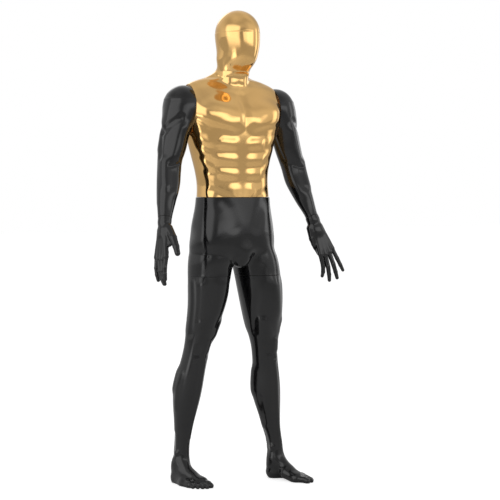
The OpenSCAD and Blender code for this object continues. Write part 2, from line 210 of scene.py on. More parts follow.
# Relief on both halves of the torso: (angle from the front, height) points, reach, height, power
TORSO_RELIEF = [
    # Pectorals, with their lower edge, and the line of the breastbone
    ([(26, 1450), (50, 1466)], 80, 13, 3),
    ([(46, 1486), (76, 1508)], 60, 4, 2),
    ([(30, 1398), (52, 1412), (72, 1440)], 22, -2, 2),
    ([(0, 1530), (0, 1440)], 36, -3, 2),
    # Collar bones and the notch between them
    ([(10, 1556), (35, 1566), (62, 1578)], 26, 3, 2),
    # Blocks of the belly, either side of a flat channel
    ([(20, 1345), (36, 1347)], 37, 5, 2),
    ([(20, 1282), (44, 1285)], 37, 5.5, 2),
    ([(20, 1226), (42, 1231)], 37, 5.5, 2),
    ([(19, 1166), (16, 1120)], 44, 4, 2),
    # Ribs and flank, reaching in to the belly, and the groin line
    ([(56, 1352), (68, 1366)], 34, 2.5, 2),
    ([(56, 1302), (68, 1318)], 34, 2.5, 2),
    ([(56, 1252), (66, 1268)], 34, 2.5, 2),
    ([(58, 1200), (60, 1150)], 50, 3, 2),
    ([(60, 1160), (38, 1136), (24, 1118)], 30, -3, 2),
    # Back: spine, its two columns, wings, shoulder blades
    ([(180, 1560), (180, 1140)], 34, -8, 2),
    ([(162, 1340), (162, 1140)], 42, 5, 2),
    ([(118, 1420), (134, 1320)], 80, 8, 2),
    ([(150, 1500), (146, 1450)], 62, 7, 2),
    ([(130, 1418), (160, 1392)], 30, -4, 2),
]
# The belly's relief is turned this many degrees to the right, from BELLY_TOP down
BELLY_TURN, BELLY_TOP, BELLY_FADE = 5.0, 1410, 70
SHOULDER_FILLET, CORD_FILLET, NECK_FILLET, JAW_FILLET = 60, 54, 44, 42


def torso_field(p):
    body = TORSO.field(p)
    angle, radius = TORSO.locate(p)
    fade = np.clip((BELLY_TOP - p[:, 2]) / BELLY_FADE, 0, 1)
    turned = angle + BELLY_TURN * fade * fade * (3 - 2 * fade)
    body = body - relief(np.abs(turned), radius, p[:, 2], TORSO_RELIEF)
    head = np.where(p[:, 2] > SKULL_Z, egg(p, *SKULL), HEAD.field(p))
    neck = bone(p, [-1, 6, 1560], [6, -26, 1690], 63, 51)
    q = np.stack([np.abs(p[:, 0] + 2), p[:, 1], p[:, 2]], 1)
    trapezius = bone(q, [28, 22, 1606], [152, 12, 1560], 33, 25)
    cord = bone(q, [38, -18, 1680], [20, -40, 1590], 22, 16)
    throat = blend(neck, cord, CORD_FILLET)
    chest = blend(blend(body, trapezius, SHOULDER_FILLET), throat, NECK_FILLET)
    return blend(chest, head, JAW_FILLET)


# ---------------------------------------------------------------- pelvis and legs
PELVIS = Loft([
    [4, -8, 1158, 153, 98, 2.3, 0], [4, -7, 1100, 158, 103, 2.3, 1], [4, -5, 1050, 167, 109, 2.4, 3],
    [4, -3, 1000, 175, 114, 2.5, 5], [4, -1, 950, 178, 113, 2.5, 6], [3, 0, 915, 160, 98, 2.3, 6],
    [2, 0, 892, 110, 60, 2.1, 6], [2, 0, 878, 40, 30, 2, 6]])
RIGHT_LEG = Loft([
    [-84, 0, 985, 62, 84, 2.2, 4], [-88, -1, 940, 76, 94, 2.2, 4], [-92, -2, 900, 81, 98, 2.2, 6],
    [-96, 1, 850, 79, 94, 2.2, 8], [-98, 6, 780, 74, 88, 2.2, 10], [-104, 15, 700, 66, 78, 2.15, 11],
    [-117, 29, 620, 56, 67, 2.1, 12], [-129, 41, 550, 50, 57, 2.1, 13],
    [-138, 50, 500, 49, 55, 2.1, 14], [-148, 62, 440, 51, 58, 2.1, 15],
    [-155, 74, 380, 52, 61, 2.1, 15], [-161, 81, 320, 48, 56, 2.1, 15],
    [-166, 85, 260, 40, 46, 2, 15], [-171, 89, 200, 32, 38, 2, 15],
    [-175, 92, 145, 28, 35, 2, 15], [-176, 94, 90, 28, 36, 2, 15], [-176, 94, 60, 26, 34, 2, 15]])
LEFT_LEG = Loft([
    [88, 0, 985, 62, 84, 2.2, 4], [95, -1, 940, 77, 94, 2.2, 6], [104, -3, 900, 85, 98, 2.2, 8],
    [112, -8, 850, 87, 96, 2.2, 10], [121, -14, 780, 85, 90, 2.2, 13], [129, -17, 700, 77, 82, 2.15, 16],
    [135, -19, 620, 64, 70, 2.1, 19], [142, -19, 550, 50, 57, 2.1, 22],
    [146, -17, 500, 46, 53, 2.1, 24], [153, -11, 440, 46, 56, 2.1, 25],
    [158, -5, 380, 50, 60, 2.1, 26], [164, -4, 320, 48, 56, 2.1, 27],
    [173, -7, 260, 40, 46, 2, 28], [181, -12, 200, 32, 38, 2, 28],
    [190, -19, 145, 28, 34, 2, 28], [193, -22, 90, 28, 34, 2, 28], [194, -24, 60, 26, 32, 2, 28]])
RIGHT_ANKLE, RIGHT_FOOT_YAW = [-180, 92], 9
LEFT_ANKLE, LEFT_FOOT_YAW = [194, -24], 26

# Angles here run outward from the front of the leg, so that one list serves both legs
LEG_RELIEF = [
    # Thigh: front, outer and inner muscles, the tailor's line, the hamstrings
    ([(2, 790), (4, 680)], 66, 7, 2),
    ([(62, 790), (52, 650)], 56, 6, 2),
    ([(-44, 640), (-36, 596)], 42, 7, 2),
    ([(40, 640), (34, 604)], 34, 3, 2),
    ([(-24, 860), (-62, 700), (-84, 600)], 26, -3, 2),
    ([(92, 800), (86, 600)], 26, -3, 2),
    ([(180, 800), (180, 600)], 24, -4, 2),
    ([(156, 780), (150, 620)], 44, 3, 2),
    ([(-156, 780), (-150, 620)], 44, 3, 2),
    # Knee
    ([(0, 556), (0, 536)], 32, 5, 3),
    ([(0, 500), (0, 486)], 19, 3, 2),
    ([(38, 548), (34, 520)], 24, -3, 2),
    ([(-38, 548), (-34, 520)], 24, -3, 2),
    ([(180, 540)], 44, -6, 2),
    # Calf and shin
    ([(-142, 430), (-140, 360)], 50, 6, 2),
    ([(146, 440), (142, 380)], 46, 6, 2),
    ([(180, 440), (180, 330)], 18, -4, 2),
    ([(96, 440), (102, 300)], 26, 3, 2),
    ([(-10, 480), (-8, 180)], 20, 4, 2),
    ([(-88, 330), (-110, 230)], 28, -3, 2),
    ([(180, 260), (180, 120)], 18, 5, 2),
    ([(138, 190), (135, 110)], 24, -4, 2),
    ([(-138, 190), (-135, 110)], 24, -4, 2),
    ([(88, 118)], 22, 7, 2),
    ([(-84, 128)], 22, 6, 2),
]
PELVIS_RELIEF = [
    # Groin lines, hip hollows, buttocks and the cleft between them
    ([(58, 1140), (40, 1090), (26, 1020)], 44, -3, 2),
    ([(96, 985)], 60, -5, 2),
    ([(146, 980), (150, 940)], 84, 16, 2),
    ([(180, 1060), (180, 880)], 24, -13, 2),
    ([(160, 1090)], 26, -3, 2),
]

# Foot bones: (outward, forward, up, radius) pairs, from the ankle
FOOT_BONES = [
    ((0, -8, 26, 34), (0, -5, 70, 28.5)), ((2, 2, 84, 28), (-2, 64, 34, 22)),
    ((-2, 64, 34, 22), (-6, 114, 18, 17)), ((14, -2, 12, 24), (30, 66, 8, 18)),
    ((30, 66, 8, 18), (33, 108, 7, 16)), ((-18, 60, 26, 21), (-24, 116, 12, 19)),
    ((-24, 112, 11, 19), (24, 104, 8, 17)),
    ((4, -6, 62, 28), (16, 52, 22, 21))]
TOES = [
    ((-26, 134, 12, 14), (-24, 166, 8, 12.5)), ((-4, 138, 11, 9.5), (-3, 172, 6, 8.5)),
    ((11, 134, 10, 9), (13, 164, 6, 8)), ((24, 126, 9, 8.5), (28, 152, 6, 7.5)),
    ((35, 114, 8, 8.5), (40, 136, 6, 7.5))]
KNUCKLE_RISE = 3
FOOT_TOP = 240
CROTCH = [2, -78, 912], [40, 38, 52]


def foot_field(p, ankle, yaw, side):
    c, s = math.cos(math.radians(yaw)), math.sin(math.radians(yaw))
    dx, dy = p[:, 0] - ankle[0], p[:, 1] - ankle[1]
    outward, forward = side * (dx * c + dy * s), dx * s - dy * c
    q = np.stack([outward, forward, p[:, 2]], 1)
    sole = blend_all([bone(q, a[:3], b[:3], a[3], b[3]) for a, b in FOOT_BONES], 26)
    toes = []
    for a, b in TOES:
        middle = [(a[0] + b[0]) / 2, (a[1] + b[1]) / 2, (a[2] + b[2]) / 2 + KNUCKLE_RISE]
        toes.append(blend(bone(q, a[:3], middle, a[3], a[3] * 0.92),
                          bone(q, middle, b[:3], a[3] * 0.92, b[3]), 3))
    return blend(sole, blend_all(toes, 2.5), 9)


def leg_field(p, loft, side):
    angle, radius = loft.locate(p)
    turned = (angle * side - loft.read(p[:, 2])[5] * side + 180) % 360 - 180
    return loft.field(p) - relief(turned, radius, p[:, 2], LEG_RELIEF)


def whole_leg_field(p, loft, side, ankle, yaw):
    leg = leg_field(p, loft, side)
    low = p[:, 2] < FOOT_TOP
    leg[low] = blend(leg[low], foot_field(p[low], ankle, yaw, side), 24)
    return leg


def pelvis_field(p):
    angle, radius = PELVIS.locate(p)
    body = PELVIS.field(p) - relief(np.abs(angle), radius, p[:, 2], PELVIS_RELIEF)
    thighs = np.minimum(leg_field(p, RIGHT_LEG, -1), leg_field(p, LEFT_LEG, 1))
    return blend(blend(body, egg(p, *CROTCH), 44), thighs, 30)


# ---------------------------------------------------------------- arms
ARM = Loft([
    [211, 8, 1512, 64, 66, 2, 0], [214, 8, 1500, 67, 70, 2, 0],
    [223, 5, 1460, 69, 74, 2, 0], [238, 2, 1415, 60, 68, 2, 0], [252, -1, 1370, 55, 60, 2, 0],
    [266, -6, 1315, 53, 54, 2, -20], [283, -14, 1248, 48, 44, 2, -30], [292, -27, 1198, 48, 43, 2, -30],
    [305, -44, 1148, 42.5, 39, 2, -30], [319, -60, 1100, 34, 32, 2, -20], [331, -76, 1060, 27, 28, 2, 0],
    [337, -86, 1036, 27, 28, 2, 0]])
# Angles are 0 at the front of the arm and +90 outward
ARM_RELIEF = [
    ([(24, 1444), (70, 1400), (98, 1388)], 28, -5, 2),
    ([(98, 1388), (142, 1434)], 28, -4, 2),
    ([(60, 1500), (88, 1430)], 54, 4, 2),
    ([(-2, 1400), (6, 1300)], 46, 7, 2),
    ([(168, 1420), (160, 1320)], 50, 6, 2),
    ([(122, 1400), (118, 1330)], 34, 3, 2),
    ([(92, 1380), (74, 1290)], 20, -4, 2),
    ([(-84, 1390), (-70, 1290)], 22, -4, 2),
    ([(54, 1278), (36, 1190)], 40, 6, 2),
    ([(-54, 1240), (-34, 1160)], 42, 4, 2),
    ([(-22, 1266), (22, 1258)], 14, -4, 2),
    ([(8, 1250), (4, 1180)], 22, -3, 2),
    ([(180, 1256)], 28, 4, 2),
    ([(150, 1230), (130, 1120)], 30, 2, 2),
]
SHOULDER_CAP = [209, 9, 1496], [76.5, 78, 77.5]


def arm_field(p):
    angle, radius = ARM.locate(p)
    arm = ARM.field(p) - relief(angle, radius, p[:, 2], ARM_RELIEF)
    return blend(arm, egg(p, *SHOULDER_CAP), 24)


# ---------------------------------------------------------------- hands
# In a hand's own frame x is toward the thumb, y out of the palm and z to the fingertips.
# Fingers from the thumb side: knuckle x, knuckle z, splay, three bone lengths, radius.
FINGERS = [(30, 157, 45, 26, 22, 9.5), (10, 162, 50, 31, 24, 9.8),
           (-10, 159, 51, 31, 25, 9.8), (-29, 151, 44, 28, 23, 9.1)]
# The thumb's joints: x, y, z, radius
THUMB = [(22, 5, 44, 17.5), (40, 9, 86, 15), (48, 13, 124, 12.6), (51, 15, 153, 10.8)]
# The heel of the palm, the pads under the fingers and the thumb's web: ends, radii, then the fillet
PALM_PADS = [(([-17, 6, 56], [-24, 4, 118], 12, 10), 14),
             (([22, 5, 140], [-20, 5, 136], 9, 8), 12),
             (([22, 4, 80], [36, 8, 108], 12, 9), 14)]
# The space that a hand can reach, in its own frame
HAND_BOX = [(x, y, z) for x in (-60, 75) for y in (-30, 75) for z in (-30, 285)]
# A hand's pointing and thumb directions are those of a left hand; the right one is mirrored.
RIGHT_HAND = {"along": [0.21, -0.22, -0.94], "thumb_side": [-0.14, -0.99, 0],
              "splay": [-8, -2, 2, -3], "curl": [11, 15, 19, 14], "thumb_turn": 16, "reach": 0.93}
LEFT_HAND = {"along": [0.3, -0.27, -0.94], "thumb_side": [-0.99, 0.12, 0],
             "splay": [6, 8, 2, -6], "curl": [30, 15, 8, 3], "thumb_turn": -14, "reach": 1.04}


def hand_frame(pose):
    z = unit(pose["along"])
    side = np.array(pose["thumb_side"])
    x = unit(side - (side @ z) * z)
    return np.stack([x, np.cross(z, x), z])


def finger_bones(finger, splay, curl, reach):
    x, z, l1, l2, l3, r = finger
    at = np.array([x, 0.0, z])
    bend, bones = math.radians(curl * 0.35), []
    for length, extra, r0, r1 in ((l1, 0.8, r, r * 0.93), (l2, 0.6, r * 0.95, r * 0.88),
                                  (l3, 0.0, r * 0.89, r * 0.74)):
        s = math.radians(splay)
        step = np.array([math.sin(s) * math.cos(bend), math.sin(bend), math.cos(s) * math.cos(bend)])
        bones.append((at, at + step * length * reach, r0, r1))
        at = at + step * length * reach
        bend += math.radians(curl) * extra
    return bones


def hand_field(p, axes, pose):
    q = (p - WRIST) @ axes.T
    wrist = blend(bone(q, [0, 0, -30], [0, 0, 16], 27.3, 25.5),
                  bone(q * [1, 1.18, 1], [0, 0, 16], [4, 0, 62], 25.5, 25), 14)
    backs = [bone(q, [f[0] * 0.45, -5, 52], [f[0], -1, f[1]], 12, f[5] + 1.5)
             for f in FINGERS]
    palm = blend_all(backs, 15)
    for pad, fillet in PALM_PADS:
        palm = blend(palm, bone(q, *pad), fillet)
    palm = blend(wrist, palm, 20)
    tilt = math.radians(pose["thumb_turn"])
    root, chain = THUMB[0][2], []
    for x, y, z, r in THUMB:
        up = z - root
        chain.append((np.array([x + up * math.sin(tilt), y, root + up * math.cos(tilt)]), r))
    thumb = blend_all([bone(q, a, b, ra, rb) for (a, ra), (b, rb) in zip(chain[:-1], chain[1:])], 5)
    palm = blend(palm, thumb, 11)
    fingers = []
    for finger, splay, curl in zip(FINGERS, pose["splay"], pose["curl"]):
        bones = finger_bones(finger, splay, curl, pose["reach"])
        fingers.append(blend_all([bone(q, *b) for b in bones], 3.5))
    return blend(palm, blend_all(fingers, 1.2), 5)


# ---------------------------------------------------------------- meshing
def surface(field, low, high, step):
    """Vertices and quads of the field's zero surface, by surface nets, then pulled onto it."""
    low, high = np.asarray(low, float), np.asarray(high, float)
    n = np.ceil((high - low) / step).astype(int) + 1
    axes = [low[i] + step * np.arange(n[i]) for i in range(3)]
    grid = np.stack(np.meshgrid(*axes, indexing="ij"), -1)
    value = np.concatenate([field(slab.reshape(-1, 3)).reshape(slab.shape[:2])[None]
                            for slab in grid])
    inside = value < 0
    total, count = np.zeros(tuple(n - 1) + (3,)), np.zeros(tuple(n - 1))
    for axis in range(3):
        a = [slice(None)] * 3
        b = [slice(None)] * 3
        a[axis], b[axis] = slice(0, -1), slice(1, None)
        va, vb = value[tuple(a)], value[tuple(b)]
        crossing = inside[tuple(a)] != inside[tuple(b)]
        t = np.where(crossing, va / np.where(crossing, va - vb, 1), 0)
        point = grid[tuple(a)].copy()
        point[..., axis] += t * step
        others = [i for i in range(3) if i != axis]
        for i in (0, 1):
            for j in (0, 1):
                s = [slice(None)] * 3
                s[others[0]] = slice(i, n[others[0]] - 1 + i)
                s[others[1]] = slice(j, n[others[1]] - 1 + j)
                c = crossing[tuple(s)]
                total += point[tuple(s)] * c[..., None]
                count += c
    used = count > 0
    index = np.full(used.shape, -1)
    index[used] = np.arange(used.sum())
    verts = total[used] / count[used][:, None]
    faces = []
    for axis in range(3):
        i, j = [k for k in range(3) if k != axis]
        a = [slice(1, -1)] * 3
        b = [slice(1, -1)] * 3
        a[axis], b[axis] = slice(0, -1), slice(1, None)
        ia, ib = inside[tuple(a)], inside[tuple(b)]
        cells = np.argwhere(ia != ib)
        flip = ib[tuple(cells.T)]
        cells[:, i] += 1
        cells[:, j] += 1
        corners = []
        for di, dj in ((0, 0), (1, 0), (1, 1), (0, 1)):
            cell = cells.copy()
            cell[:, i] -= di
            cell[:, j] -= dj
            corners.append(index[tuple(cell.T)])
        quad = np.stack(corners, 1)
        if axis == 1:
            flip = ~flip
        quad[flip] = quad[flip][:, ::-1]
        faces.append(quad)
    return pull(field, verts, step), np.concatenate(faces)


def gradient(field, p, h=0.4):
    return np.stack([(field(p + d) - field(p - d)) / (2 * h) for d in np.eye(3) * h], 1)


def pull(field, verts, step):
    """Moves vertices along the field's gradient onto its zero surface."""
    for _ in range(3):
        g = gradient(field, verts)
        move = field(verts)[:, None] * g / np.maximum((g * g).sum(1), 0.05)[:, None]
        size = np.linalg.norm(move, axis=1, keepdims=True)
        verts = verts - move * np.minimum(1, 0.5 * step / np.maximum(size, 1e-9))
    return verts


def link(name, data):
    obj = bpy.data.objects.new(name, data)
    bpy.context.scene.collection.objects.link(obj)
    return obj


def from_bmesh(name, bm):
    mesh = bpy.data.meshes.new(name)
    bm.to_mesh(mesh)
    bm.free()
    return link(name, mesh)


def bridge(bm, a, b):
    """A closed strip of quads between two rings of the same number of vertices."""
    for k in range(len(a)):
        j = (k + 1) % len(a)
        bm.faces.new((a[k], a[j], b[j], b[k]))


# ---------------------------------------------------------------- seams
WALL = 3.0
ON_PLANE, WELD = 0.02, 0.6
MIN_LOOP = 12
LIP_HEIGHT = 1.3
LIP = [(0.12, 0.55), (0.4, 0.95), (0.85, 1.2), (1.4, LIP_HEIGHT), (2.6, LIP_HEIGHT), (WALL, 0.9)]


def open_loops(bm, point, normal):
    """The cut edges on a plane, as ordered loops of vertices, from the figure's right to its left."""
    def on_plane(v):
        return abs((v.co - point).dot(normal)) < ON_PLANE

    near = {}
    for e in bm.edges:
        if e.is_boundary and on_plane(e.verts[0]) and on_plane(e.verts[1]):
            for v in e.verts:
                near.setdefault(v, []).append(e.other_vert(v))
    loops = []
    while near:
        here = next(iter(near))
        loop = [here]
        ahead = near.pop(here)
        while True:
            ahead = [v for v in ahead if v in near]
            if not ahead:
                break
            here = ahead[0]
            loop.append(here)
            ahead = near.pop(here)
        loops.append(loop)
    loops = [loop for loop in loops if len(loop) > MIN_LOOP]
    return sorted(loops, key=lambda loop: sum(v.co.x for v in loop) / len(loop))


def plain(bm, co):
    """A new vertex that isn't part of the sculpted surface."""
    vert = bm.verts.new(co)
    vert[bm.verts.layers.int["plain"]] = 1
    return vert


def smooth_loop(values, times):
    """Evens out small ripples along a closed loop of vectors."""
    for _ in range(times):
        values = (np.roll(values, 1, 0) + values * 2 + np.roll(values, -1, 0)) / 4
    return values


def facing_out(loop, normal):
    """The points of a cut edge, and the way out of the shell at each, in the plane of the cut."""
    points = np.array([v.co[:] for v in loop])
    tangent = np.roll(points, -1, 0) - np.roll(points, 1, 0)
    outward = np.cross(tangent, normal)
    outward /= np.linalg.norm(outward, axis=1)[:, None]
    if ((points - points.mean(0)) * outward).sum() < 0:
        outward = -outward
    return points, smooth_loop(outward, 4)


def lip(bm, loop, normal, rise, skirt):
    """Rolls a cut edge over into a flat rim, and goes down inside the wall to a floor."""
    points, outward = facing_out(loop, normal)
    outward /= np.linalg.norm(outward, axis=1)[:, None]
    last = loop
    for inset, height in [(i, h + rise) for i, h in LIP] + [(WALL, -skirt)]:
        ring = [plain(bm, q - o * inset + normal * height) for q, o in zip(points, outward)]
        bridge(bm, last, ring)
        last = ring
    bm.faces.new(last)
    return {"outline": points - outward * (WALL + 0.2) + normal * (LIP_HEIGHT + rise),
            "normal": normal}


def cut(bm, point, normal, gaps, skirt):
    """Cuts bm flat at a seam, on the side that normal leaves by, and finishes each edge with a lip.
    There is one gap, from the seam's middle to the rim, for each edge the cut makes."""
    normal = unit(normal)
    depth = max(gaps) + LIP_HEIGHT
    plane, n = Vector(np.asarray(point, float) - normal * depth), Vector(normal)
    bmesh.ops.bisect_plane(bm, geom=bm.verts[:] + bm.edges[:] + bm.faces[:], dist=0.001,
                           plane_co=plane, plane_no=n, clear_outer=True)
    rim = [v for v in bm.verts if abs((v.co - plane).dot(n)) < ON_PLANE]
    bmesh.ops.remove_doubles(bm, verts=rim, dist=WELD)
    return [lip(bm, loop, normal, max(gaps) - gap, skirt)
            for loop, gap in zip(open_loops(bm, plane, n), gaps)]


NORMALS = {}
SOLE_EDGE = [(0.25, 0.75), (0.7, 0.28), (1.3, 0.06), (2.0, 0.0)]
SOLE_CUT = 1.2
BORE_DEPTH = 12


def flat_sole(bm, bore):
    """Cuts a foot flat at the floor with a rolled edge, and leaves a round mouth for a rod if asked."""
    bmesh.ops.bisect_plane(bm, geom=bm.verts[:] + bm.edges[:] + bm.faces[:], dist=0.001,
                           plane_co=(0, 0, SOLE_CUT), plane_no=(0, 0, -1), clear_outer=True)
    rim = [v for v in bm.verts if v.co.z < SOLE_CUT + ON_PLANE]
    bmesh.ops.remove_doubles(bm, verts=rim, dist=WELD)
    for loop in open_loops(bm, Vector((0, 0, SOLE_CUT)), Vector((0, 0, -1))):
        points, outward = facing_out(loop, UP)
        last = loop
        for inset, height in SOLE_EDGE:
            drop = UP * (SOLE_CUT - height)
            ring = [plain(bm, q - o * inset - drop) for q, o in zip(points, outward)]
            bridge(bm, last, ring)
            last = ring
        rims = [last]
        if bore:
            x, y, radius = bore
            turns = np.linspace(0, 2 * math.pi, 32, endpoint=False)
            mouth = [plain(bm, (x + radius * math.cos(t), y + radius * math.sin(t), 0)) for t in turns]
            top = [plain(bm, v.co + Vector((0, 0, BORE_DEPTH))) for v in mouth]
            bridge(bm, mouth, top)
            bm.faces.new(top)
            rims.append(mouth)
        edges = []
        for rim in rims:
            for k in range(len(rim)):
                a, b = rim[k], rim[(k + 1) % len(rim)]
                edges.append(bm.edges.get((a, b)) or bm.edges.new((a, b)))
        bmesh.ops.triangle_fill(bm, use_beauty=True, use_dissolve=False, edges=edges)


def moulding(name, field, low, high, step, seams, sole=None):
    """A sculpted shell cut at its seams: (point, normal, gaps, skirt). A foot has a sole too."""
    verts, faces = surface(field, low, high, step)
    bm = bmesh.new()
    bm.verts.layers.int.new("plain")
    made = [bm.verts.new(v) for v in verts]
    for f in faces:
        bm.faces.new([made[i] for i in f])
    outlines = []
    for seam in seams:
        outlines += cut(bm, *seam)
    if sole is not None:
        flat_sole(bm, sole)
    bmesh.ops.recalc_face_normals(bm, faces=bm.faces[:])
    for f in bm.faces:
        f.smooth = True
    obj = from_bmesh(name, bm)
    mesh = obj.data
    co, normals = np.empty(len(mesh.vertices) * 3), np.empty(len(mesh.vertices) * 3)
    mesh.vertices.foreach_get("co", co)
    mesh.vertices.foreach_get("normal", normals)
    normals = normals.reshape(-1, 3)
    sculpted = np.array([a.value == 0 for a in mesh.attributes["plain"].data])
    slope = gradient(field, co.reshape(-1, 3)[sculpted], 1.0)
    normals[sculpted] = slope / np.linalg.norm(slope, axis=1)[:, None]
    mesh.attributes.remove(mesh.attributes["plain"])
    NORMALS[name] = normals
    return obj, outlines


def to_frame(obj, mirrored=False):
    """Moves a mesh made in the figure's frame, in millimetres, into the CAD frame."""
    mesh = obj.data
    co = np.empty(len(mesh.vertices) * 3)
    mesh.vertices.foreach_get("co", co)
    co = co.reshape(-1, 3)
    if mirrored:
        co = co * MIRROR
        mesh.flip_normals()
    mesh.vertices.foreach_set("co", ((co + TO_FRAME) * MM).ravel())
    mesh.update()
    if obj.name in NORMALS:
        turned = NORMALS[obj.name] * (MIRROR if mirrored else 1)
        mesh.normals_split_custom_set_from_vertices(turned.tolist())
    return obj


# ---------------------------------------------------------------- boards
def board(name, seam, near, far, hole):
    """A flat board that fills a mouth's outline between two depths, with a round hole if asked."""
    normal = seam["normal"]
    outline = seam["outline"]
    centre = seam["centre"]
    flat = outline - ((outline - outline.mean(0)) @ normal)[:, None] * normal
    rings = []
    if hole:
        centre = centre - ((centre - outline.mean(0)) @ normal) * normal
        x = unit(np.cross(normal, [0, 1, 0]))
        y = np.cross(normal, x)
        turns = np.linspace(0, 2 * math.pi, 40, endpoint=False)
        rings.append(centre + hole * (np.cos(turns)[:, None] * x + np.sin(turns)[:, None] * y))
    bm = bmesh.new()
    layers = []
    for depth in (near, far):
        loops, edges = [], []
        for ring in [flat] + rings:
            loop = [bm.verts.new(q - normal * depth) for q in ring]
            edges += [bm.edges.new((loop[k], loop[(k + 1) % len(loop)])) for k in range(len(loop))]
            loops.append(loop)
        bmesh.ops.triangle_fill(bm, use_beauty=True, use_dissolve=False, edges=edges)
        layers.append(loops)
    for top, bottom in zip(*layers):
        bridge(bm, top, bottom)
    bmesh.ops.recalc_face_normals(bm, faces=bm.faces[:])
    return from_bmesh(name, bm)


# ---------------------------------------------------------------- build
STEP = 3.6
ARM_STEP = STEP * 0.85
HAND_STEP = 1.6
PLATE = 3.0
BOARD = 12.0
SKIRT = PLATE + BOARD
OPEN, BONDED = 0.4, 0.1
BOARD_PLAY = 0.4
# Radius of the hole that each fitting needs in its board
LUG_ROOM = {"waist": 24, "shoulder": 21, "wrist": 11, "thigh": 16.5}

for leftover in list(bpy.data.objects):
    if leftover.name in ("Cube", "Light", "Camera"):
        bpy.data.objects.remove(leftover)

pieces = []


def place(obj, body, slot, replaced, mirrored=False):
    """Puts a finished piece on its body. The CAD nodes that it stands for are hidden."""
    pieces.append((obj, slot))
    to_frame(obj, mirrored)
    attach(obj, body)
    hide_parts(*replaced)
    return obj


def seam_board(name, body, seam, centre, node, hole=0, mirrored=False):
    seam["centre"] = np.asarray(centre, float)
    obj = board(name, seam, PLATE, PLATE + BOARD - BOARD_PLAY, hole)
    return place(obj, body, "plywood", [node], mirrored)


def make_torso():
    torso, seams = moulding(
        "torso_moulding", torso_field, [-225, -150, 1120], [225, 150, 1890], STEP,
        [(WAIST, -UP, [OPEN], SKIRT), (SHOULDER, SHOULDER_OUT, [OPEN], SKIRT),
         (SHOULDER * MIRROR, SHOULDER_OUT * MIRROR, [OPEN], SKIRT)])
    place(torso, "torso", "gold_plating", ["torso_head_shell"])
    seam_board("torso_waist_closing_board", "torso", seams[0], WAIST, "torso_waist_board",
               LUG_ROOM["waist"])
    seam_board("torso_left_closing_board", "torso", seams[1], SHOULDER, "torso_left_board",
               LUG_ROOM["shoulder"])
    seam_board("torso_right_closing_board", "torso", seams[2], SHOULDER * MIRROR,
               "torso_right_board", LUG_ROOM["shoulder"])


def make_pelvis():
    thighs = [0, 0, THIGH_Z]
    pelvis, seams = moulding(
        "pelvis_moulding", pelvis_field, [-215, -150, THIGH_Z - 14], [215, 150, 1156], STEP,
        [(WAIST, UP, [OPEN], SKIRT), (thighs, -UP, [BONDED, OPEN], SKIRT)])
    place(pelvis, "pelvis", "black_gloss", ["pelvis_shell"])
    seam_board("pelvis_waist_closing_board", "pelvis", seams[0], WAIST, "pelvis_waist_board")
    seam_board("pelvis_thigh_closing_board", "pelvis", seams[2], thighs, "pelvis_thigh_board")


def make_legs():
    top = [0, 0, THIGH_Z]
    right, _ = moulding(
        "right_leg_moulding", lambda p: whole_leg_field(p, RIGHT_LEG, -1, RIGHT_ANKLE, RIGHT_FOOT_YAW),
        [-265, -125, -32], [15, 175, THIGH_Z + 10], STEP, [(top, UP, [BONDED], SKIRT)], rod_bore())
    place(right, "pelvis", "black_gloss", ["right_leg_shell"])
    left, seams = moulding(
        "left_leg_moulding", lambda p: whole_leg_field(p, LEFT_LEG, 1, LEFT_ANKLE, LEFT_FOOT_YAW),
        [10, -215, -32], [345, 110, THIGH_Z + 10], STEP, [(top, UP, [OPEN], SKIRT)], ())
    place(left, "left_leg", "black_gloss", ["left_leg_shell"])
    seam_board("left_leg_closing_board", "left_leg", seams[0], joint_spigot(), "left_leg_board",
               LUG_ROOM["thigh"])


def rod_bore():
    """Centre and radius, in the sole, of the hole that the base rod's socket fills."""
    low, high = (np.array(corner) / MM - TO_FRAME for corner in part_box("base_rod_socket"))
    middle = (low + high) / 2
    return middle[0], middle[1], (high[0] - low[0]) / 2 + 0.1


def joint_spigot():
    low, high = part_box("leg_spigot")
    return (np.array(low) + np.array(high)) / 2 / MM - TO_FRAME


def make_arms():
    seams_cut = [(SHOULDER, -SHOULDER_OUT, [OPEN], SKIRT), (WRIST, FOREARM, [OPEN], SKIRT)]
    for side, mirrored in (("left", False), ("right", True)):
        arm, seams = moulding(side + "_arm_moulding", arm_field, [175, -125, 1030], [375, 110, 1600],
                              ARM_STEP, seams_cut)
        place(arm, side + "_arm", "black_gloss", [side + "_arm_shell"], mirrored)
        seam_board(side + "_shoulder_closing_board", side + "_arm", seams[0], SHOULDER,
                   side + "_shoulder_board", 0, mirrored)
        seam_board(side + "_wrist_closing_board", side + "_arm", seams[1], WRIST,
                   side + "_wrist_board", LUG_ROOM["wrist"], mirrored)


def make_hands():
    for side, pose, mirrored in (("left", LEFT_HAND, False), ("right", RIGHT_HAND, True)):
        axes = hand_frame(pose)
        reach = np.array([np.array(corner) @ axes + WRIST for corner in HAND_BOX])
        hand, _ = moulding(
            side + "_hand_moulding", lambda p: hand_field(p, axes, pose), reach.min(0) - 4,
            reach.max(0) + 4, HAND_STEP, [(WRIST, -FOREARM, [OPEN], PLATE + 0.2)])
        place(hand, side + "_hand", "black_gloss", [side + "_hand"], mirrored)


make_torso()
make_pelvis()
make_legs()
make_arms()
make_hands()


# ---------------------------------------------------------------- materials
def material(name, **settings):
    """A Principled material. Returns it, its node tree, and its shader."""
    mat = bpy.data.materials.new(name)
    mat.use_nodes = True
    tree = mat.node_tree
    shader = tree.nodes["Principled BSDF"]
    for key, value in settings.items():
        shader.inputs[key.replace("_", " ")].default_value = value
    return mat, tree, shader


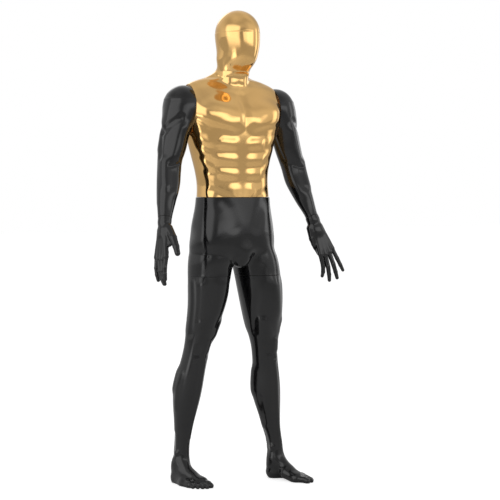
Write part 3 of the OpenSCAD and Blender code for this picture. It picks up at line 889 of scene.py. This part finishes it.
def noise(tree, scale, detail=3.0, stretch=(1, 1, 1)):
    """Noise fixed to the object's own coordinates."""
    coords = tree.nodes.new("ShaderNodeTexCoord")
    mapping = tree.nodes.new("ShaderNodeMapping")
    mapping.inputs["Scale"].default_value = stretch
    tex = tree.nodes.new("ShaderNodeTexNoise")
    tex.inputs["Scale"].default_value = scale
    tex.inputs["Detail"].default_value = detail
    tree.links.new(coords.outputs["Object"], mapping.inputs["Vector"])
    tree.links.new(mapping.outputs["Vector"], tex.inputs["Vector"])
    return tex.outputs["Fac"]


def remap(tree, value, low, high, to_low, to_high):
    node = tree.nodes.new("ShaderNodeMapRange")
    for key, number in zip(("From Min", "From Max", "To Min", "To Max"), (low, high, to_low, to_high)):
        node.inputs[key].default_value = number
    tree.links.new(value, node.inputs["Value"])
    return node.outputs["Result"]


def ramp(tree, value, stops):
    node = tree.nodes.new("ShaderNodeValToRGB")
    elements = node.color_ramp.elements
    while len(elements) < len(stops):
        elements.new(0.5)
    for element, (at, color) in zip(elements, stops):
        element.position, element.color = at, (*color, 1)
    tree.links.new(value, node.inputs["Fac"])
    return node.outputs["Color"]


def bump(tree, shader, height, distance, strength):
    node = tree.nodes.new("ShaderNodeBump")
    node.inputs["Distance"].default_value = distance
    node.inputs["Strength"].default_value = strength
    tree.links.new(height, node.inputs["Height"])
    tree.links.new(node.outputs["Normal"], shader.inputs["Normal"])


def gold_plating():
    """Vacuum plated gold: a mirror with a faint orange peel and a thin, uneven haze."""
    mat, tree, shader = material("gold_plating", Metallic=1.0)
    tint = ramp(tree, noise(tree, 5.0, 2.0),
                [(0.35, (0.95, 0.58, 0.218)), (0.7, (0.98, 0.615, 0.245))])
    tree.links.new(tint, shader.inputs["Base Color"])
    haze = remap(tree, noise(tree, 26.0, 5.0), 0.35, 0.75, 0.075, 0.12)
    tree.links.new(haze, shader.inputs["Roughness"])
    bump(tree, shader, noise(tree, 55.0, 1.5), 0.00035, 0.5)
    return mat


def black_gloss():
    """Sprayed gloss black: soft orange peel under a slightly uneven gloss."""
    mat, tree, shader = material("black_gloss", Coat_Weight=0.35, Coat_Roughness=0.06,
                                   Specular_IOR_Level=0.44)
    tint = ramp(tree, noise(tree, 9.0, 3.0),
                [(0.3, (0.003, 0.003, 0.0034)), (0.75, (0.005, 0.005, 0.0054))])
    tree.links.new(tint, shader.inputs["Base Color"])
    gloss = remap(tree, noise(tree, 34.0, 5.0), 0.3, 0.75, 0.14, 0.22)
    tree.links.new(gloss, shader.inputs["Roughness"])
    bump(tree, shader, noise(tree, 190.0, 2.0), 0.00022, 0.55)
    return mat


def plywood():
    """Birch plywood, with stretched grain."""
    mat, tree, shader = material("plywood", Roughness=0.72)
    grain = noise(tree, 60.0, 8.0, (1, 0.08, 1))
    tint = ramp(tree, grain,
                [(0.3, (0.36, 0.22, 0.11)), (0.5, (0.58, 0.41, 0.24)), (0.7, (0.70, 0.53, 0.34))])
    tree.links.new(tint, shader.inputs["Base Color"])
    bump(tree, shader, grain, 0.0006, 0.6)
    return mat


def plated_steel(name, dark, light, low, high):
    """Zinc plated steel: fine brushing and a mottled finish."""
    mat, tree, shader = material(name, Metallic=1.0)
    tint = ramp(tree, noise(tree, 70.0, 4.0), [(0.3, dark), (0.7, light)])
    tree.links.new(tint, shader.inputs["Base Color"])
    brushing = noise(tree, 240.0, 3.0, (1, 0.05, 0.2))
    tree.links.new(remap(tree, brushing, 0.3, 0.7, low, high), shader.inputs["Roughness"])
    bump(tree, shader, brushing, 0.00012, 0.5)
    return mat


MATERIALS = {
    "gold_plating": gold_plating(),
    "black_gloss": black_gloss(),
    "plywood": plywood(),
    "steel": plated_steel("steel", (0.40, 0.40, 0.42), (0.62, 0.62, 0.63), 0.22, 0.4),
    "screws": plated_steel("screws", (0.10, 0.10, 0.105), (0.20, 0.20, 0.21), 0.3, 0.5),
}
SLOTS = {row["node"]: row["material_slot"] for row in frame["record"]["subparts"]}


def give(obj, mat):
    obj.data.materials.clear()
    obj.data.materials.append(mat)


for node_name, node_object in frame["nodes"].items():
    give(node_object, MATERIALS[SLOTS[node_name]])
for obj, slot_name in pieces:
    give(obj, MATERIALS[slot_name])


# ---------------------------------------------------------------- studio
# The floor and the backdrop are brighter to the camera than they are in reflections
AZIMUTH = math.radians(30)
TOWARD = np.array([-math.sin(AZIMUTH), -math.cos(AZIMUTH), 0])
FLOOR_REACH = 30.0
FLOOR_TONE, FLOOR_LIFT = 0.72, 0.65
WHITE = (1, 1, 1, 1)


def camera_ray(tree):
    return tree.nodes.new("ShaderNodeLightPath").outputs["Is Camera Ray"]


def make_floor():
    mesh = bpy.data.meshes.new("floor")
    corners = [(-1, -1), (1, -1), (1, 1), (-1, 1)]
    mesh.from_pydata([(x * FLOOR_REACH, y * FLOOR_REACH, 0) for x, y in corners], [], [(0, 1, 2, 3)])
    mesh.update()
    floor = link("floor", mesh)
    mat, tree, shader = material("floor", Roughness=0.7, Emission_Color=WHITE)
    low, high = FLOOR_TONE * 0.99, FLOOR_TONE
    tint = ramp(tree, noise(tree, 1.5), [(0.3, (low, low, low)), (0.7, (high, high, high))])
    tree.links.new(tint, shader.inputs["Base Color"])
    lift = remap(tree, camera_ray(tree), 0, 1, 0, FLOOR_LIFT)
    tree.links.new(lift, shader.inputs["Emission Strength"])
    give(floor, mat)


def times(tree, a, b):
    node = tree.nodes.new("ShaderNodeMath")
    node.operation = "MULTIPLY"
    tree.links.new(a, node.inputs[0])
    tree.links.new(b, node.inputs[1])
    return node.outputs["Value"]


def softbox(name, place_m, size, glow, edges):
    """A rectangular light on the chest that fades over its border, so that it reflects softly."""
    data = bpy.data.lights.new(name, "AREA")
    data.shape = "RECTANGLE"
    data.size, data.size_y = size
    data.energy = glow * math.pi * size[0] * size[1]
    data.use_nodes = True
    tree = data.node_tree
    geometry = tree.nodes.new("ShaderNodeNewGeometry")
    parts = tree.nodes.new("ShaderNodeSeparateXYZ")
    tree.links.new(geometry.outputs["Parametric"], parts.inputs["Vector"])
    fades = []
    for axis, edge in zip("XY", edges):
        fold = tree.nodes.new("ShaderNodeMath")
        fold.operation = "PINGPONG"
        fold.inputs[1].default_value = 0.5
        tree.links.new(parts.outputs[axis], fold.inputs[0])
        fade = tree.nodes.new("ShaderNodeMapRange")
        fade.interpolation_type = "SMOOTHERSTEP"
        fade.inputs["From Max"].default_value = edge
        tree.links.new(fold.outputs["Value"], fade.inputs["Value"])
        fades.append(fade.outputs["Result"])
    tree.links.new(times(tree, *fades), tree.nodes["Emission"].inputs["Strength"])
    light = link(name, data)
    light.location = place_m
    light.rotation_euler = (Vector(CHEST) - Vector(place_m)).to_track_quat("-Z", "Y").to_euler()


CHEST = (0, 0, 1.25)


def around(turn, elevation, distance):
    """A point seen from the chest: turn is degrees to the right of the camera."""
    turn, elevation = math.radians(turn), math.radians(elevation)
    x, y = -math.sin(AZIMUTH - turn), -math.cos(AZIMUTH - turn)
    flat = distance * math.cos(elevation)
    return (x * flat, y * flat, CHEST[2] + distance * math.sin(elevation))


make_floor()
softbox("left_bank", around(-46, 17, 3.6), (5.6, 4.2), 0.95, (0.25, 0.3))
softbox("right_bank", around(40, 12.5, 3.6), (6.0, 1.6), 0.95, (0.2, 0.4))
softbox("right_wall", around(103, 8, 3.6), (1.5, 3.0), 0.9, (0.4, 0.4))
softbox("right_back", around(142, 6, 3.8), (2.0, 3.0), 0.9, (0.4, 0.4))
softbox("left_low", around(-54, -13, 3.6), (1.9, 1.1), 1.6, (0.45, 0.45))
softbox("back", around(-160, 30, 4.4), (2.4, 2.0), 1.2, (0.45, 0.45))

WORLD_GLOW, BACKDROP_GLOW = 0.57, 1.0
DIM_BEHIND_CAMERA = 0.6


def make_world():
    """A slightly uneven pale room, dimmer in a fixed round patch behind the rest camera."""
    world = bpy.data.worlds.new("studio")
    bpy.context.scene.world = world
    world.use_nodes = True
    tree = world.node_tree
    sky = tree.nodes["Background"]
    sky.inputs["Color"].default_value = WHITE
    tone = remap(tree, noise(tree, 0.9, 1.0), 0.35, 0.65, WORLD_GLOW * 0.78, WORLD_GLOW * 1.2)
    facing = tree.nodes.new("ShaderNodeVectorMath")
    facing.operation = "DOT_PRODUCT"
    facing.inputs[1].default_value = TOWARD
    directions = tree.nodes.new("ShaderNodeTexCoord").outputs["Generated"]
    tree.links.new(directions, facing.inputs[0])
    patch = remap(tree, facing.outputs["Value"], 0.84, 0.98, 1.0, DIM_BEHIND_CAMERA)
    mix = tree.nodes.new("ShaderNodeMix")
    tree.links.new(camera_ray(tree), mix.inputs["Factor"])
    tree.links.new(times(tree, tone, patch), mix.inputs["A"])
    mix.inputs["B"].default_value = BACKDROP_GLOW
    tree.links.new(mix.outputs["Result"], sky.inputs["Strength"])


make_world()
bpy.context.scene.view_settings.view_transform = "Standard"


# ---------------------------------------------------------------- camera
# The eye is just above the waist, so that it doesn't look straight through the gap there
DISTANCE, EYE_HEIGHT, SIDE_STEP = 5600.0, 1170.0, 75.6
PITCH = math.radians(2.475)
LENS, SENSOR = 101.4, 36

camera_data = bpy.data.cameras.new("camera")
camera_data.lens = LENS
camera_data.sensor_width = SENSOR
camera = link("camera", camera_data)
bpy.context.scene.camera = camera
rightward = np.array([math.cos(AZIMUTH), -math.sin(AZIMUTH), 0])
eye = TOWARD * DISTANCE + rightward * SIDE_STEP + UP * EYE_HEIGHT
camera.location = Vector((eye + TO_FRAME) * MM)
look = -TOWARD * math.cos(PITCH) - UP * math.sin(PITCH)
camera.rotation_euler = Vector(look).to_track_quat("-Z", "Y").to_euler()
